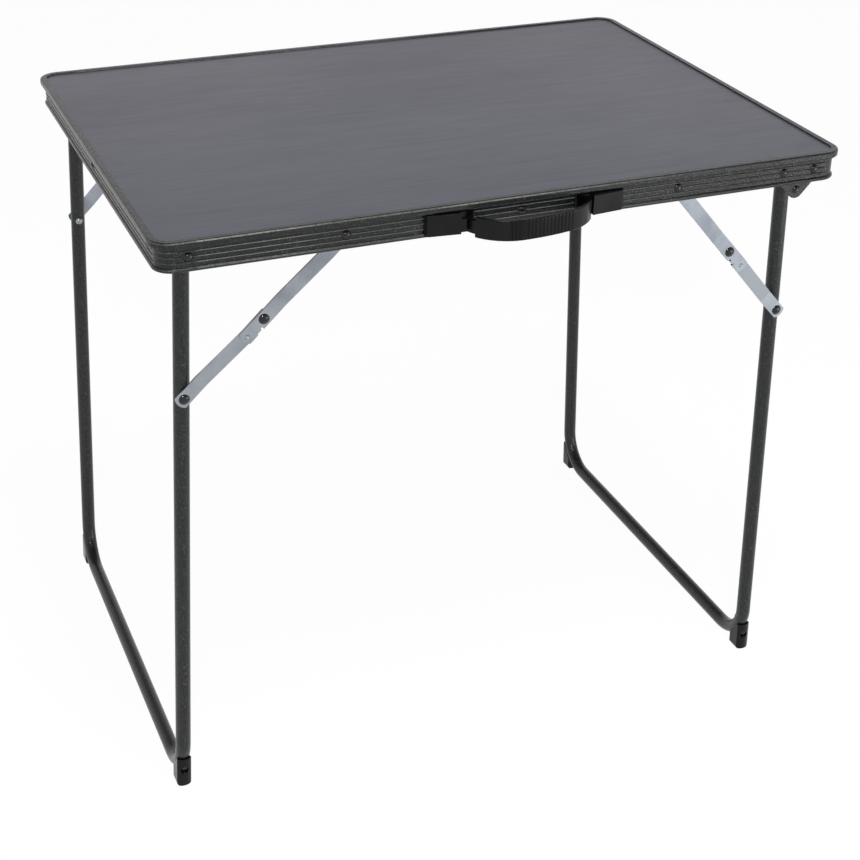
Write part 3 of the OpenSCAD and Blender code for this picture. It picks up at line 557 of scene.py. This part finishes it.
def grooveDepth(across, count):
    # how deep round-bottomed grooves, evenly spaced about a centre, cut at each place along the strap
    g = strap["grooves"]
    nearest = np.round((across - g["centre"]) / g["pitch"] + (count - 1) / 2)
    nearest = np.clip(nearest, 0, count - 1)
    gap = across - g["centre"] - (nearest - (count - 1) / 2) * g["pitch"]
    inside = np.clip(g["radius"] ** 2 - gap ** 2, 0, None)
    return np.clip(np.sqrt(inside) - g["sink"], 0, None)


def tubeFaces(rings, around, offset=0):
    # quads between neighbouring rings of a closed loop, and one cap at each end
    ring, step = np.meshgrid(np.arange(rings - 1), np.arange(around), indexing="ij")
    after = (step + 1) % around
    quads = np.stack([ring * around + step, (ring + 1) * around + step,
                      (ring + 1) * around + after, ring * around + after], -1).reshape(-1, 4) + offset
    first = (np.arange(around) + offset).tolist()
    last = (np.arange(around)[::-1] + (rings - 1) * around + offset).tolist()
    return quads.tolist() + [first, last]


def bowArcs():
    # centre and outer radius of three arcs that touch where they meet, and the bearing of the second joint:
    # the first two meet at the crown, and the third starts where its circle touches the middle one's
    lip, reach = strap["lipOut"], strap["reach"]
    leftR, middleR, rightR = strap["radii"]
    leftEnd, rightEnd = strap["shoulders"]
    crown = leftEnd + math.sqrt(leftR ** 2 - (leftR - reach + strap["stands"][0]) ** 2)
    leftC = np.array([crown, lip + reach - leftR])
    middleC = np.array([crown, lip + reach - middleR])
    away = np.array([rightEnd, lip + strap["stands"][1]]) - middleC
    far, arm = np.hypot(*away), middleR - rightR
    joint = math.atan2(away[0], away[1]) - math.acos((far ** 2 + arm ** 2 - rightR ** 2) / (2 * far * arm))
    rightC = middleC + arm * np.array([math.sin(joint), math.cos(joint)])
    return (leftC, middleC, rightC), joint


def bowSurface(centres, joint):
    # the arcs carry the rounded profile; the left end is cut square to its arc and the right one square to X,
    # both drawn in round their edges, and the grip grooves cut back both broad faces
    leftR, middleR, rightR = strap["radii"]
    leftEnd, rightEnd = strap["shoulders"]
    thick, high = strap["thick"], strap["high"]
    profile = roundedProfile(thick, high, strap["edge"])
    inward, upward = profile[:, 0] - thick / 2, profile[:, 1]       # inward is 0 at the outer face

    leftStart = -math.asin((centres[0][0] - leftEnd) / leftR)
    rightStop = np.arcsin((rightEnd - centres[2][0]) / (rightR + inward))[None, :]
    runs = [np.linspace(0, 1, count)[:, None] for count in strap["stations"]]
    runs[0] = runs[0] ** strap["crowd"]
    runs[2] = 1 - (1 - runs[2]) ** strap["crowd"]
    spans = ((leftStart, 0.0), (0.0, joint), (joint, rightStop))
    bearings = [np.broadcast_to(start + (stop - start) * run, (len(run), len(inward)))
                for (start, stop), run in zip(spans, runs)]
    middles = [np.tile(centre, (len(run), 1)) for centre, run in zip(centres, runs)]
    radii = [np.full((len(run), 1), radius) for radius, run in zip(strap["radii"], runs)]
    # each later arc leaves out its first ring, which is the last one of the arc before
    bearing, centre, radius = (np.concatenate([rows[0], rows[1][1:], rows[2][1:]])
                               for rows in (bearings, middles, radii))
    centreAcross, centreOut = centre[:, None, 0], centre[:, None, 1]

    plain = centreAcross + (radius + inward) * np.sin(bearing)
    fromEnd = np.minimum(plain - plain[:1], plain[-1:] - plain) * strap["drawn"]["steep"]
    edge = strap["edge"] * strap["drawn"]["edge"]
    drawn = edge - np.sqrt(np.clip(edge ** 2 - np.clip(edge - fromEnd, 0, None) ** 2, 0, None))
    depth = inward[None, :] * (1 - 2 * drawn / thick) - drawn
    outerAcross = centreAcross + radius * np.sin(bearing)
    depth = np.minimum(depth, -grooveDepth(outerAcross, strap["grooves"]["front"]))
    depth = np.maximum(depth, -thick + grooveDepth(outerAcross, strap["grooves"]["back"]))
    across = centreAcross + (radius + depth) * np.sin(bearing)
    out = centreOut + (radius + depth) * np.cos(bearing)
    height = strap["centreHigh"] + upward[None, :] * (1 - drawn / (high / 2))
    return np.stack([across, out, height], -1)


def neckSurface(start, stop, centre=None):
    # a straight tongue from the housing into the bow; with a centre, its two faces follow the left arc's
    # wherever that stands further out
    neck = strap["neck"]
    across = np.linspace(start, stop, neck["stations"])[:, None]
    profile = roundedProfile(1.0, neck["high"], neck["edge"], sides=(2, 6))
    share = np.clip(profile[:, 0] + 0.5, 0, 1)[None, :]     # 0 on the inner face, 1 on the outer one
    outer, inner = neck["out"], neck["out"] - neck["thick"]
    if centre is not None:
        radius = strap["radii"][0]
        arcs = [centre[1] + np.sqrt(np.clip(r ** 2 - (across - centre[0]) ** 2, 0, None))
                for r in (radius, radius - strap["thick"])]
        outer, inner = np.maximum(arcs[0], outer), np.maximum(arcs[1], inner)
    out = inner + (outer - inner) * share
    height = neck["centreHigh"] + profile[:, 1][None, :]
    return np.stack(np.broadcast_arrays(across, out, height), -1)


def makeStrap():
    centres, joint = bowArcs()
    leftNeck, rightNeck = ([end + reach for reach in strap["neck"][side]]
                           for end, side in zip(strap["shoulders"], ("left", "right")))
    surfaces = (bowSurface(centres, joint), neckSurface(*leftNeck, centres[0]), neckSurface(*rightNeck))
    points, faces, offset = [], [], 0
    for surface in surfaces:
        rings, around = surface.shape[:2]
        points.append(surface.reshape(-1, 3) * (1.0, -1.0, 1.0) + (*tableMiddle, 0.0))  # the front is at -Y
        faces += tubeFaces(rings, around, offset)
        offset += rings * around
    mesh = bpy.data.meshes.new("handleStrapMoulding")
    mesh.from_pydata(np.concatenate(points).tolist(), [], faces)
    mesh.polygons.foreach_set("use_smooth", np.ones(len(faces), dtype=bool))
    piece = bpy.data.objects.new("handleStrapMoulding", mesh)
    bpy.context.scene.collection.objects.link(piece)
    mesh.materials.append(finishes["black_plastic"])
    mesh.set_sharp_from_angle(angle=math.radians(strap["sharp"]))
    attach(piece, "handle")
    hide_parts("handle_strap")
    return len(faces)


print("strap moulded,", makeStrap(), "faces")
